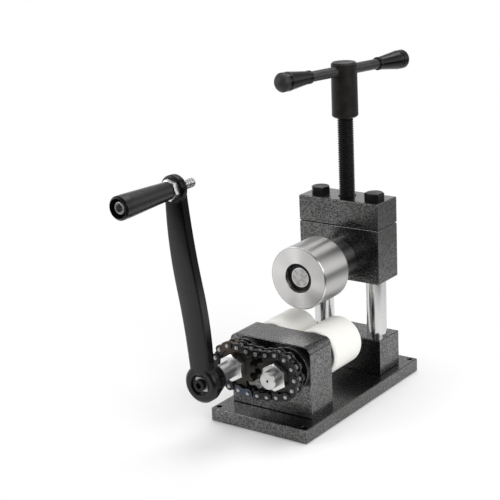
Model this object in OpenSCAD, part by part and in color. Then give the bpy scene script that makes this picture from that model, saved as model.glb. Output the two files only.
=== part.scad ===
// Hand-cranked ring bending tool with two chained lower rolls and a screw-down upper roll.
// Millimetres, +Z up, origin at the centre of the underside of the base plate.
// The working side with the chain faces -Y and the rear block with its posts stands at +Y.

/* [Base plate] */
// Width of the base plate
base_w = 96; // [90:1:130]
// Depth of the base plate, front to back
base_d = 182; // [178:1:230]
// Thickness of the base plate
base_t = 12; // [10:0.5:20]
// Distance of the bench holes from the edges of the plate
hole_inset = 4.8; // [4:0.1:8]
// Diameter of the bench holes
hole_d = 5.2; // [4:0.1:6.5]

/* [Blocks] */
// Width of the front block, rear block, carriage and top plate
block_w = 80; // [78:1:90]
// Depth of the front block
block_d = 31.5; // [28:0.5:40]
// Height of the front block
block_h = 62.5; // [60:0.5:80]
// Radius along the two upper edges of the front block
block_round = 7; // [2:0.5:10]
// Distance from the front edge of the base to the front block
block_set = 21; // [15:0.5:24]
// Depth of the rear block, carriage and top plate
head_d = 32; // [30:0.5:40]
// Height of the rear block
rear_h = 32; // [26:0.5:44]
// Distance from the rear edge of the base to the rear block
head_set = 19; // [18:0.5:24]
// Chamfer that breaks the edges of the base plate and blocks
edge_break = 0.6; // [0.2:0.1:1.5]

/* [Posts and press head] */
// Diameter of the guide posts
post_d = 18; // [15:0.5:18]
// Distance from the side of the block to the post axis
post_inset = 12.5; // [12:0.5:14]
// Height of the underside of the top plate above the base plate
plate_rise = 132.5; // [126:0.5:160]
// Thickness of the top plate
plate_t = 23; // [18:0.5:30]
// Height of the carriage block
carriage_h = 48.6; // [44:0.2:56]
// Diameter of the press screw
screw_d = 14; // [12:0.5:15]
// Length of press screw seen between the top plate and the T-handle
screw_free = 70.2; // [50:0.2:100]

/* [Rolls] */
// Diameter of the upper steel roll
top_roll_d = 55; // [48:0.5:60]
// Length of the upper steel roll
top_roll_len = 36.5; // [30:0.5:50]
// Diameter of the axle of the upper roll
axle_d = 17; // [15:0.5:18]
// Distance from the underside of the carriage to the roll axle
axle_rise = 19; // [17:0.5:22]
// Length of the lower plastic rolls
low_roll_len = 42.3; // [36:0.1:48]
// Slit left between the two lower rolls
roll_slit = 0.5; // [0.4:0.1:3]
// Height of the lower roll shafts above the base plate
shaft_rise = 42.5; // [40:0.5:46]

/* [Chain drive] */
// Pitch of the roller chain
chain_pitch = 9.525; // [9.5:0.025:9.6]
// Teeth of each sprocket
teeth = 12; // [12:2:12]
// Chain links in the lower free span
span_links = 5; // [5:1:5]
// Slack of each free span
chain_slack = 0.36; // [0.1:0.02:0.5]
// Diameter of the shafts in their bushes
shaft_d = 17; // [16:0.5:18]
// Diameter of the threaded shaft ends and roll seats
seat_d = 15; // [14:0.5:15.5]
// Length of the sprocket hub behind the teeth
hub_len = 12; // [9:0.5:15]

/* [Crank] */
// Length of the crank from shaft to handle
crank_len = 165; // [150:1:180]
// Sideways lean of the crank at rest
crank_lean = -1; // [-10:0.5:10]
// Outward offset of the handle end of the arm
crank_offset = 16; // [12:0.5:20]
// Greatest width of the arm
arm_w = 20.6; // [18:0.2:24]
// Thickness of the arm at its edges
arm_t = 7.5; // [7:0.5:9]
// Length of the revolving grip
grip_len = 56.5; // [45:0.5:80]

/* [T-handle] */
// Height of the T-handle hub
hub_h = 47.2; // [40:0.2:60]
// Length of the cross bar over its grips
bar_span = 154; // [130:1:200]
// Diameter of the cross bar
bar_d = 9; // [8:0.5:10]
// Turn of the cross bar at rest
bar_turn = 76.5; // [0:0.5:180]

/* [Hidden] */
$fn = 72;
cut = 1;
play = 0.2;
fit = 0.03;
weld = 0.5;

base_top = base_t;
block_front = -base_d / 2 + block_set;
block_back = block_front + block_d;
head_back = base_d / 2 - head_set;
head_front = head_back - head_d;
head_y = (head_front + head_back) / 2;
post_x = block_w / 2 - post_inset;
rear_top = base_top + rear_h;
plate_z = base_top + plate_rise;
plate_top = plate_z + plate_t;

carriage_gap = 0.4;
carriage_top = plate_z - carriage_gap;
carriage_z = carriage_top - carriage_h;
axle_z = carriage_z + axle_rise;

screw_cap_d = 14.4;
base_screw_x = post_x;
base_screw_y = (block_front + block_back) / 2;
base_screw_d = 8;
base_screw_len = 24;
base_head_d = 13;
base_head_h = 8;
base_head_sink = 8.2;

pitch_r = chain_pitch / 2 / sin(180 / teeth);
half_tooth = 180 / teeth;
shaft_gap = (span_links - 0.5) * chain_pitch - chain_slack;
shaft_z = base_top + shaft_rise;
low_roll_d = shaft_gap - roll_slit;

flange_t = 4;
flange_d = 37;
bush_d = 24;
flange_edge = 0.2;
front_w = max(block_w, shaft_gap + flange_d + 2 * flange_edge);
bush_len = 12;
hub_back = block_front - flange_t - play;
sprocket_t = 4.3;
sprocket_back = hub_back - hub_len;
sprocket_front = sprocket_back - sprocket_t;
chain_y = (sprocket_back + sprocket_front) / 2;
sprocket_hub_d = 26;
tip_r = pitch_r + 1.9;
nut_t = 6;
nut_af = 21;
nut_front = sprocket_front - nut_t;
driven_end = nut_front - 8;
roll_front = block_back + flange_t + play;
roll_back = roll_front + low_roll_len;
roll_round = 4;
cap_sink = 5;
cap_d = 24;
cap_t = 2.5;
cap_screw_d = 8;
cap_screw_len = 18;
set_screw_d = 5;

link_r = 3.8;
waist = 2.8;
plate_gauge = 1.25;
inner_gap = 4.8;
outer_gap = inner_gap + 2 * plate_gauge + 0.2;
pin_d = 3.58;
pin_len = 12;
roller_d = 5.08;
roller_len = inner_gap - 0.1;
seat_play = 0.15;
flank = 30;
flank_lap = 0.06;

boss_front = nut_front - 41.5;
boss_len = 20;
boss_back = boss_front + boss_len;
boss_r = 15.6;
boss_tail_r = 11.4;
boss_rim = 8;
square_w = 11.5;
socket_depth = 2.5;
socket_d = 17.5;
shaft_end = boss_front + socket_depth;
crank_screw_d = 6;
crank_head_d = 10;
crank_head_h = 4;
ridge_h = 1.6;
ridge_w = 2;
eye_d = 21.8;
eye_t = 6.6;
eye_front = boss_front - crank_offset;
eye_back = eye_front + eye_t;
stud_d = 8;
stud_tail = 19.4;
stud_nut_af = 15;
stud_nut_turn = -14;
stud_head_d = 10;
stud_key = 6;
stud_nut_t = 5;
grip_in = eye_front - stud_nut_t - play;
grip_out = grip_in - grip_len;
grip_sink = 7;
grip_hole = 15;
grip_small_d = 14.4;
grip_large_d = 18.6;
grip_rim = 8;

roll_stand = 28;
roll_front_top = head_front - roll_stand - top_roll_len;
roll_back_top = roll_front_top + top_roll_len;
bearing_d = axle_d + 9;
bearing_t = 5;
bearing_sink = 5;
race_step = 4;
clip_t = 1;
clip_depth = 0.5;
clip_y = roll_front_top + bearing_sink - 0.3 - clip_t;
axle_end = clip_y - 0.7;
collar_front = roll_back_top + 0.3;
collar_d = 35;
axle_stub_d = 12;
axle_nut_af = 18;
axle_nut_t = 10;
axle_washer_t = 2.5;

post_bolt_d = 10;
post_bolt_bite = 14;
post_bolt_af = 15;
post_bolt_head = 6;
post_socket = 6;
post_foot = 8;
nut_sleeve_d = 22;
nut_sleeve_drop = 5;
keeper_t = 4;
keeper_w = 30;
keeper_d = 19;
neck_d = 9;
button_d = 13;
button_h = 6;
keeper_z = carriage_top - keeper_t;
screw_shoulder = carriage_top + 0.1;
button_top = keeper_z - play;
button_z = button_top - button_h;
hub_z = plate_top + screw_free;
hub_top = hub_z + hub_h;
hub_d = 22.9;
hub_top_d = 22.4;
screw_grip = 28;
hub_pin_d = 4;
bar_z = hub_top - 7.2;
bar_grip_len = 37;
bar_grip_r1 = 5.4;
bar_grip_r2 = 8.2;
bar_grip_dome = 9;
pin_turn = bar_turn - 40;
bar_sunk = 27;
bar_grip_in = bar_span / 2 - bar_grip_len;
bar_len = 2 * (bar_grip_in + bar_sunk);

// Half of the turn between two chain links that hang in an arc of n links over a reach.
function half_turn(n, ratio, lo, hi, steps) =
    let (mid = (lo + hi) / 2)
    steps == 0 ? mid
    : sin(n * mid) / sin(mid) > ratio
        ? half_turn(n, ratio, mid, hi, steps - 1)
        : half_turn(n, ratio, lo, mid, steps - 1);

// Joints strictly between a and b on an arc of n links that sags downwards.
function span_joints(a, b, n) =
    let (
        reach = norm(b - a),
        x = half_turn(n, reach / chain_pitch, 0.01, 180 / n, 40),
        r = chain_pitch / 2 / sin(x),
        mid = (a + b) / 2,
        along = (b - a) / reach,
        side = [-along[1], along[0]],
        down = side[1] > 0 ? -side : side
    )
    [for (k = [1 : n - 1])
        let (t = (2 * k - n) * x)
        mid + along * r * sin(t) + down * r * (cos(t) - cos(n * x))];

function on_pitch(x, turn) = [x, 0] + pitch_r * [cos(turn), sin(turn)];

right_joints = [for (k = [0 : teeth / 2]) on_pitch(shaft_gap / 2, -90 + 2 * half_tooth * k)];
left_joints = [for (k = [0 : teeth / 2])
    on_pitch(-shaft_gap / 2, 90 - half_tooth + 2 * half_tooth * k)];
top_joints = span_joints(right_joints[teeth / 2], left_joints[0], span_links - 1);
low_joints = span_joints(left_joints[teeth / 2], right_joints[0], span_links);
joints = concat(right_joints, top_joints, left_joints, low_joints);
links = len(joints);
offset_at = len(right_joints) + len(top_joints) - 1;
master_at = offset_at + len(left_joints) + 1;
outer_links = [for (i = [0 : links - 1])
    if (i != master_at && ((i < offset_at && i % 2 == 0) || (i > offset_at && i % 2 == 1))) i];
inner_links = [for (i = [0 : links - 1])
    if ((i < offset_at && i % 2 == 1) || (i > offset_at && i % 2 == 0)) i];

// Arcs of the arm and the long arcs of its outline.
arm_turn = 2 * atan(crank_offset / crank_len);
arm_r = crank_len / 2 / sin(arm_turn);
arm_y = boss_front + arm_t / 2 + ridge_h;
arm_lap = 0.2;
arm_step = 0.03;
arm_bulge = 1350;
arm_mid = shaft_z + 0.43 * crank_len;

// Round bar along Y between two positions.
module rod(y0, y1, d) {
    translate([0, y0, 0]) rotate([-90, 0, 0]) cylinder(d = d, h = y1 - y0);
}

// Cone along Y between two positions.
module taper(y0, y1, d0, d1) {
    translate([0, y0, 0]) rotate([-90, 0, 0]) cylinder(d1 = d0, d2 = d1, h = y1 - y0);
}

// Hexagon prism along Y between two positions.
module hex_rod(y0, y1, af) {
    translate([0, y0, 0]) rotate([-90, 0, 0]) rotate(30)
        cylinder(d = af / cos(30), h = y1 - y0, $fn = 6);
}

// Hexagon nut along Y with both faces turned down to a cone.
module hex_nut(y0, y1, af, bore) {
    corner = af / 2 / cos(30) + 0.01 * af;
    face = 0.49 * af;
    edge = (corner - face) * tan(30);
    difference() {
        intersection() {
            hex_rod(y0, y1, af);
            rotate([-90, 0, 0]) rotate_extrude()
                polygon([[0, y0], [face, y0], [corner, y0 + edge], [corner, y1 - edge],
                    [face, y1], [0, y1]]);
        }
        rod(y0 - cut, y1 + cut, bore);
    }
}

// Bar along X whose long edges are broken, seen from the side.
module broken_profile(w, y0, y1, z0, z1) {
    e = edge_break;
    translate([-w / 2, 0, 0]) upright() linear_extrude(w)
        polygon([[y0 + e, z0], [y1 - e, z0], [y1, z0 + e], [y1, z1 - e], [y1 - e, z1],
            [y0 + e, z1], [y0, z1 - e], [y0, z0 + e]]);
}

// Block with broken edges round its top and its underside.
module slab(w, y0, y1, z0, z1) {
    e = edge_break;
    half = w / 2;
    intersection() {
        broken_profile(w, y0, y1, z0, z1);
        translate([0, y1, 0]) rotate([90, 0, 0]) linear_extrude(y1 - y0)
            polygon([[e - half, z0], [half - e, z0], [half, z0 + e], [half, z1 - e],
                [half - e, z1], [e - half, z1], [-half, z1 - e], [-half, z0 + e]]);
    }
}

// Block of the press head between two heights.
module head_slab(z0, z1) {
    slab(block_w, head_front, head_back, z0, z1);
}

module both_posts() {
    for (x = [-post_x, post_x]) translate([x, head_y, 0]) children();
}

module at_drive() {
    translate([-shaft_gap / 2, 0, shaft_z]) children();
}

module at_driven() {
    translate([shaft_gap / 2, 0, shaft_z]) children();
}

module at_axle() {
    translate([0, 0, axle_z]) children();
}

module base_screw_spots() {
    for (x = [-base_screw_x, base_screw_x], y = [base_screw_y, head_y])
        translate([x, y, 0]) children();
}

module base_plate() {
    color("dimgray")
    difference() {
        slab(base_w, -base_d / 2, base_d / 2, 0, base_t);
        for (x = [-1, 1], y = [-1, 1])
            translate([x * (base_w / 2 - hole_inset), y * (base_d / 2 - hole_inset), -cut])
                cylinder(d = hole_d, h = base_t + 2 * cut);
        base_screw_spots() {
            translate([0, 0, -cut]) cylinder(d = base_screw_d + 0.6, h = base_t + 2 * cut);
            translate([0, 0, -cut]) cylinder(d = base_head_d + 1.4, h = base_head_sink + cut);
        }
    }
}

// Socket head screws that hold the front block and, through the rear block, the posts.
module base_screws() {
    color("black")
    base_screw_spots() {
        difference() {
            union() {
                translate([0, 0, base_head_sink - base_head_h])
                    cylinder(d = base_head_d, h = base_head_h);
                translate([0, 0, base_head_sink - weld])
                    cylinder(d = base_screw_d, h = base_screw_len + weld);
            }
            translate([0, 0, base_head_sink - base_head_h - cut])
                cylinder(d = 6 / cos(30), h = 4 + cut, $fn = 6);
        }
    }
}

module front_block() {
    top = base_top + block_h;
    side = front_w / 2 - block_round;
    color("dimgray")
    difference() {
        intersection() {
            union() {
                translate([-front_w / 2, block_front, base_top])
                    cube([front_w, block_d, block_h - block_round]);
                translate([-side, block_front, base_top]) cube([2 * side, block_d, block_h]);
                for (x = [-side, side])
                    translate([x, 0, top - block_round])
                        rod(block_front, block_back, 2 * block_round);
            }
            broken_profile(front_w + 2 * cut, block_front, block_back, base_top, top);
        }
        at_drive() rod(block_front - cut, block_back + cut, bush_d);
        at_driven() rod(block_front - cut, block_back + cut, bush_d);
        for (x = [-base_screw_x, base_screw_x])
            translate([x, base_screw_y, base_top - cut])
                cylinder(d = base_screw_d, h = base_head_sink + base_screw_len + 2 - base_top + cut);
    }
}

// Flanged bush pushed into the block, flange outwards on the -Y side.
module flanged_bush() {
    difference() {
        union() {
            rod(-flange_t, 0, flange_d);
            rod(-weld, bush_len, bush_d);
        }
        rod(-flange_t - cut, bush_len + cut, shaft_d + 2 * fit);
    }
}

module shaft_bushes() {
    color("#3a3a3c")
    for (x = [-shaft_gap / 2, shaft_gap / 2]) {
        translate([x, block_front, shaft_z]) flanged_bush();
        translate([x, block_back, shaft_z]) rotate([0, 0, 180]) flanged_bush();
    }
}

module rear_block() {
    color("dimgray")
    difference() {
        head_slab(base_top, rear_top);
        both_posts() {
            translate([0, 0, base_top + post_foot]) cylinder(d = post_d, h = rear_h);
            translate([0, 0, base_top - cut]) cylinder(d = base_screw_d + 0.6, h = rear_h);
        }
    }
}

module guide_posts() {
    foot = base_top + post_foot;
    color("silver")
    both_posts()
        difference() {
            translate([0, 0, foot]) cylinder(d = post_d, h = plate_z + post_socket - foot);
            translate([0, 0, base_top])
                cylinder(d = base_screw_d, h = base_head_sink + base_screw_len + 2 - base_top);
            translate([0, 0, plate_z - post_bolt_bite - 2])
                cylinder(d = post_bolt_d, h = plate_t + post_bolt_bite);
        }
}

module top_plate() {
    color("dimgray")
    difference() {
        head_slab(plate_z, plate_top);
        both_posts() {
            translate([0, 0, plate_z - cut]) cylinder(d = post_d, h = post_socket + cut);
            translate([0, 0, plate_z]) cylinder(d = post_bolt_d + 0.6, h = plate_t + cut);
        }
        translate([0, head_y, plate_z - cut])
            cylinder(d = nut_sleeve_d, h = plate_t - nut_sleeve_drop + cut);
        translate([0, head_y, plate_z]) cylinder(d = screw_d + 2, h = plate_t + cut);
    }
}

// Hexagon head bolts down into the tops of the posts, each head at its own turn.
module post_bolts() {
    corner = post_bolt_af / cos(30);
    edge = 0.17 * post_bolt_head;
    color("#202022")
    for (side = [-1, 1])
        translate([side * post_x, head_y, plate_top]) {
            intersection() {
                rotate(side < 0 ? 10 : 24) cylinder(d = corner, h = post_bolt_head, $fn = 6);
                rotate_extrude()
                    polygon([[0, 0], [0.52 * corner, 0], [0.52 * corner, post_bolt_head - edge],
                        [0.48 * post_bolt_af, post_bolt_head], [0, post_bolt_head]]);
            }
            translate([0, 0, -plate_t - post_bolt_bite])
                cylinder(d = post_bolt_d, h = plate_t + post_bolt_bite + weld);
        }
}

module lead_nut() {
    color("#b08d4a")
    translate([0, head_y, plate_z])
        difference() {
            cylinder(d = nut_sleeve_d, h = plate_t - nut_sleeve_drop);
            translate([0, 0, -cut]) cylinder(d = screw_d + 2 * fit, h = plate_t);
        }
}

// Chain frame: local X along the machine's X, local Y up, local Z towards the front.
module in_chain_plane() {
    translate([0, chain_y, shaft_z]) rotate([90, 0, 0]) children();
}

// Places its children on link i with local X along the link.
module on_link(i) {
    a = joints[i];
    b = joints[(i + 1) % links];
    translate([a[0], a[1], 0]) rotate(atan2(b[1] - a[1], b[0] - a[0])) children();
}

// Solid of the waisted outline of a chain plate from joint to joint, without its holes.
module link_blank(z0, z1) {
    half = chain_pitch / 2;
    scoop = (pow(half, 2) + pow(waist, 2) - pow(link_r, 2)) / 2 / (link_r - waist);
    far = scoop + waist;
    tx = half * scoop / (link_r + scoop);
    ty = far * link_r / (link_r + scoop);
    translate([0, 0, z0]) {
        for (x = [0, chain_pitch]) translate([x, 0, 0]) cylinder(r = link_r, h = z1 - z0);
        difference() {
            translate([half - tx, -ty, 0]) cube([2 * tx, 2 * ty, z1 - z0]);
            for (s = [-1, 1]) translate([half, s * far, -cut])
                cylinder(r = scoop, h = z1 - z0 + 2 * cut);
        }
    }
}

// Pair of flat plates at a given inside gap.
module link_pair(gap, hole) {
    difference() {
        for (z = [-gap / 2 - plate_gauge, gap / 2]) link_blank(z, z + plate_gauge);
        for (x = [0, chain_pitch]) translate([x, 0, -pin_len]) cylinder(d = hole, h = 2 * pin_len);
    }
}

module chain_inner_plates() {
    color("#34343a")
    in_chain_plane() for (i = inner_links) on_link(i) link_pair(inner_gap, pin_d + 2 * fit);
}

module chain_outer_plates() {
    color("#2a2a2e")
    in_chain_plane() for (i = outer_links) on_link(i) link_pair(outer_gap, pin_d);
}

module chain_master_link() {
    color("#3c4250")
    in_chain_plane() on_link(master_at) link_pair(outer_gap, pin_d);
}

// Side of a cranked plate, narrow at its first joint and wide at its second.
module cranked_side() {
    from = link_r + 0.15;
    to = chain_pitch - link_r - 0.15;
    low = inner_gap / 2;
    high = outer_gap / 2;
    translate([0, 2 * link_r, 0]) rotate([90, 0, 0]) linear_extrude(4 * link_r)
        polygon([[-2 * link_r, low], [from, low], [to, high], [chain_pitch + 2 * link_r, high],
            [chain_pitch + 2 * link_r, high + plate_gauge], [to, high + plate_gauge],
            [from, low + plate_gauge], [-2 * link_r, low + plate_gauge]]);
}

module chain_offset_link() {
    color("#34343a")
    in_chain_plane() on_link(offset_at)
        difference() {
            for (s = [0, 1]) mirror([0, 0, s])
                intersection() {
                    link_blank(0, outer_gap);
                    cranked_side();
                }
            translate([0, 0, -pin_len]) cylinder(d = pin_d + 2 * fit, h = 2 * pin_len);
            translate([chain_pitch, 0, -pin_len]) cylinder(d = pin_d, h = 2 * pin_len);
        }
}

module chain_pins() {
    tip = 0.4;
    color("silver")
    in_chain_plane()
        for (j = joints) translate([j[0], j[1], -pin_len / 2]) {
            cylinder(d1 = pin_d - 2 * tip, d2 = pin_d, h = tip);
            translate([0, 0, tip]) cylinder(d = pin_d, h = pin_len - 2 * tip);
            translate([0, 0, pin_len - tip]) cylinder(d1 = pin_d, d2 = pin_d - 2 * tip, h = tip);
        }
}

module chain_rollers() {
    color("gray")
    in_chain_plane()
        for (j = joints) translate([j[0], j[1], -roller_len / 2])
            difference() {
                cylinder(d = roller_d, h = roller_len);
                translate([0, 0, -cut]) cylinder(d = pin_d + 2 * fit, h = roller_len + 2 * cut);
            }
}

// Space between two teeth: roller seat on the pitch circle with flanks opening outwards.
module tooth_space() {
    seat = roller_d / 2 + seat_play;
    reach = 2 * tip_r - 2 * pitch_r + seat;
    tx = -seat * sin(flank);
    ty = seat * cos(flank) - flank_lap;
    translate([pitch_r, 0, -sprocket_t]) {
        cylinder(r = seat, h = 2 * sprocket_t);
        linear_extrude(2 * sprocket_t)
            polygon([[tx, -ty], [tx + reach * cos(flank), -ty - reach * sin(flank)],
                [tx + reach * cos(flank), ty + reach * sin(flank)], [tx, ty]]);
    }
}

// Sprocket with hub to the rear, in the chain frame with its axis at the origin.
module sprocket(turn) {
    difference() {
        union() {
            difference() {
                translate([0, 0, -sprocket_t / 2]) cylinder(r = tip_r, h = sprocket_t);
                for (k = [0 : teeth - 1]) rotate(turn + 2 * half_tooth * k) tooth_space();
            }
            translate([0, 0, -sprocket_t / 2 - hub_len]) cylinder(d = sprocket_hub_d, h = hub_len + weld);
        }
        translate([0, 0, -sprocket_t - hub_len - cut])
            cylinder(d = seat_d, h = hub_len + 2 * sprocket_t + 2 * cut);
        translate([0, 0, -sprocket_t / 2 - hub_len / 2]) rotate([-90, 0, 0])
            cylinder(d = set_screw_d, h = sprocket_hub_d);
    }
}

// Socket set screw through the top of a sprocket hub, in the chain frame.
module set_screw() {
    translate([0, 0, -sprocket_t / 2 - hub_len / 2]) rotate([-90, 0, 0])
        difference() {
            translate([0, 0, seat_d / 2 + play]) cylinder(d = set_screw_d, h = 5);
            translate([0, 0, seat_d / 2 + play + 3]) cylinder(d = 2.5 / cos(30), h = 5, $fn = 6);
        }
}

module at_drive_chain() {
    in_chain_plane() translate([-shaft_gap / 2, 0, 0]) children();
}

module at_driven_chain() {
    in_chain_plane() translate([shaft_gap / 2, 0, 0]) children();
}

module drive_sprocket() {
    color("#4a4640") at_drive_chain() sprocket(90 - half_tooth);
}

module driven_sprocket() {
    color("#4a4640") at_driven_chain() sprocket(-90);
}

module drive_set_screw() {
    color("#202022") at_drive_chain() set_screw();
}

module driven_set_screw() {
    color("#202022") at_driven_chain() set_screw();
}

// Part of a lower shaft that both shafts share: roll seat, journal and sprocket seat.
module shaft_body() {
    rod(sprocket_back, hub_back + weld, seat_d);
    rod(hub_back, roll_front, shaft_d);
    rod(roll_front - weld, roll_back - cap_sink - play, seat_d);
}

module shaft_tap() {
    rod(roll_back - cap_sink - play - cap_screw_len, roll_back, cap_screw_d);
}

module drive_shaft() {
    color("silver")
    at_drive()
        difference() {
            union() {
                shaft_body();
                rod(boss_back, sprocket_back + weld, seat_d);
                intersection() {
                    rod(shaft_end, boss_back + weld, seat_d);
                    rotate([0, crank_lean, 0]) translate([-square_w / 2, shaft_end, -square_w / 2])
                        cube([square_w, boss_back - shaft_end + weld, square_w]);
                }
            }
            shaft_tap();
            rod(shaft_end - cut, shaft_end + 18, crank_screw_d);
        }
}

module driven_shaft() {
    tip = 0.8;
    color("silver")
    at_driven()
        difference() {
            union() {
                shaft_body();
                rod(driven_end + tip, sprocket_back + weld, seat_d);
                taper(driven_end, driven_end + tip, seat_d - 2 * tip, seat_d);
            }
            shaft_tap();
            taper(driven_end - 0.01, driven_end + 1.2, 2.2, 0.4);
        }
}

module drive_nut() {
    color("whitesmoke") at_drive() hex_nut(nut_front, sprocket_front, nut_af, seat_d);
}

module driven_nut() {
    color("whitesmoke") at_driven() hex_nut(nut_front, sprocket_front, nut_af, seat_d);
}

// Plastic roll with a rounded rear edge and a sunk seat for its end cap.
module low_roll() {
    r = low_roll_d / 2;
    edge = 1.5;
    difference() {
        union() {
            taper(roll_front, roll_front + edge, low_roll_d - 2 * edge, low_roll_d);
            rod(roll_front + edge, roll_back - roll_round, low_roll_d);
            rod(roll_back - roll_round - weld, roll_back, low_roll_d - 2 * roll_round);
            translate([0, roll_back - roll_round, 0]) rotate([-90, 0, 0])
                rotate_extrude() translate([r - roll_round, 0]) circle(r = roll_round);
        }
        rod(roll_front - cut, roll_back + cut, seat_d);
        rod(roll_back - cap_sink, roll_back + cut, cap_d + 1);
    }
}

module drive_roll() {
    color("ivory") at_drive() low_roll();
}

module driven_roll() {
    color("ivory") at_driven() low_roll();
}

// Clamping washer sunk in the rear face of a lower roll.
module roll_cap() {
    difference() {
        rod(roll_back - cap_sink, roll_back - cap_sink + cap_t, cap_d);
        rod(roll_back - cap_sink - cut, roll_back, cap_screw_d + 0.6);
    }
}

// Hexagon head screw into the rear end of a lower shaft.
module roll_cap_screw() {
    seat = roll_back - cap_sink + cap_t;
    hex_nut(seat, seat + 5.3, 13, 0.01);
    rod(roll_back - cap_sink - cap_screw_len + 2, seat + weld, cap_screw_d);
}

module drive_cap() {
    color("silver") at_drive() roll_cap();
}

module driven_cap() {
    color("silver") at_driven() roll_cap();
}

module drive_cap_screw() {
    color("#202022") at_drive() roll_cap_screw();
}

module driven_cap_screw() {
    color("#202022") at_driven() roll_cap_screw();
}

module carriage_block() {
    color("dimgray")
    difference() {
        head_slab(carriage_z, carriage_top);
        both_posts() translate([0, 0, carriage_z - cut])
            cylinder(d = post_d + 3, h = carriage_h + 2 * cut);
        at_axle() rod(head_front - cut, head_back + cut, axle_d);
        translate([-keeper_w / 2, head_y - keeper_d / 2, keeper_z])
            cube([keeper_w, keeper_d, keeper_t + cut]);
        translate([0, head_y, button_z - play]) cylinder(d = button_d + 1, h = keeper_t + button_h + 1);
        keeper_screw_spots() translate([0, 0, keeper_z - 8]) cylinder(d = 3, h = 9);
    }
}

// Plain bushes that run on the guide posts.
module carriage_bushes() {
    color("#b08d4a")
    both_posts()
        translate([0, 0, carriage_z])
            difference() {
                cylinder(d = post_d + 3, h = carriage_h);
                translate([0, 0, -cut]) cylinder(d = post_d + 2 * fit, h = carriage_h + 2 * cut);
            }
}

// Fixed axle of the upper roll with its collar, clip groove and threaded stub.
module roll_axle() {
    stub_end = head_back + axle_washer_t + axle_nut_t + 2;
    color("silver")
    at_axle()
        difference() {
            union() {
                rod(axle_end, head_back, axle_d);
                rod(collar_front, head_front, collar_d);
                rod(head_back - weld, stub_end, axle_stub_d);
            }
            difference() {
                rod(clip_y, clip_y + clip_t, axle_d + 2);
                rod(clip_y - cut, clip_y + clip_t + cut, axle_d - 2 * clip_depth);
            }
        }
}

module axle_washer() {
    color("silver")
    at_axle()
        difference() {
            rod(head_back, head_back + axle_washer_t, axle_stub_d * 2);
            rod(head_back - cut, head_back + axle_washer_t + cut, axle_stub_d + 1);
        }
}

module axle_nut() {
    color("whitesmoke")
    at_axle() hex_nut(head_back + axle_washer_t, head_back + axle_washer_t + axle_nut_t,
        axle_nut_af, axle_stub_d);
}

// Spring clip in the axle groove, open to the left.
module axle_clip() {
    color("#202022")
    at_axle()
        difference() {
            rod(clip_y, clip_y + clip_t, axle_d + 5);
            rod(clip_y - cut, clip_y + clip_t + cut, axle_d - 2 * clip_depth);
            translate([-axle_d, clip_y - cut, -2]) cube([axle_d, clip_t + 2 * cut, 4]);
        }
}

module keeper_screw_spots() {
    for (x = [-11, 11], y = [-5.2, 5.2]) translate([x, head_y + y, 0]) children();
}

// Two half plates in the top of the carriage that hold the neck of the press screw.
module screw_keeper() {
    color("#5a5a5e")
    difference() {
        translate([-keeper_w / 2, head_y - keeper_d / 2, keeper_z])
            cube([keeper_w, keeper_d, keeper_t]);
        translate([0, head_y, keeper_z - cut]) cylinder(d = neck_d + 0.8, h = keeper_t + 2 * cut);
        translate([-keeper_w, head_y - play / 2, keeper_z - cut])
            cube([2 * keeper_w, play, keeper_t + 2 * cut]);
        keeper_screw_spots() {
            translate([0, 0, keeper_z - cut]) cylinder(d = 3.4, h = keeper_t + 2 * cut);
            translate([0, 0, carriage_top - 1.9]) cylinder(d1 = 3.4, d2 = 7, h = 1.9 + 0.01);
        }
    }
}

module keeper_screws() {
    color("#202022")
    keeper_screw_spots()
        difference() {
            union() {
                translate([0, 0, keeper_z - 6]) cylinder(d = 3, h = keeper_t + 6 - 0.2);
                translate([0, 0, carriage_top - 2]) cylinder(d1 = 3, d2 = 6.4, h = 1.8);
            }
            translate([0, 0, carriage_top - 1.2]) cylinder(d = 2 / cos(30), h = 2, $fn = 6);
        }
}

// Turned upper roll, bored from both ends for its bearings.
module steel_roll() {
    edge = 0.8;
    color("gainsboro")
    at_axle()
        difference() {
            union() {
                taper(roll_front_top, roll_front_top + edge, top_roll_d - 2 * edge, top_roll_d);
                rod(roll_front_top + edge, roll_back_top - edge, top_roll_d);
                taper(roll_back_top - edge, roll_back_top, top_roll_d, top_roll_d - 2 * edge);
            }
            rod(roll_front_top - cut, roll_front_top + bearing_sink + bearing_t, bearing_d);
            rod(roll_front_top, roll_back_top, bearing_d - race_step);
            rod(roll_back_top - bearing_t, roll_back_top + cut, bearing_d);
        }
}

module roll_bearing(y0) {
    difference() {
        rod(y0, y0 + bearing_t, bearing_d);
        rod(y0 - cut, y0 + bearing_t + cut, axle_d + 2 * fit);
    }
}

module roll_bearings() {
    color("#202022")
    at_axle() {
        roll_bearing(roll_front_top + bearing_sink);
        roll_bearing(roll_back_top - bearing_t);
    }
}

// Press screw with a button and neck at its foot.
module press_screw() {
    color("#26262a")
    translate([0, head_y, 0])
        difference() {
            union() {
                translate([0, 0, button_z]) cylinder(d = button_d, h = button_h);
                translate([0, 0, button_top - weld])
                    cylinder(d = neck_d, h = screw_shoulder - button_top + 2 * weld);
                translate([0, 0, screw_shoulder])
                    cylinder(d = screw_d, h = hub_z + screw_grip - screw_shoulder);
            }
            hub_pin_hole();
        }
}

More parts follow.
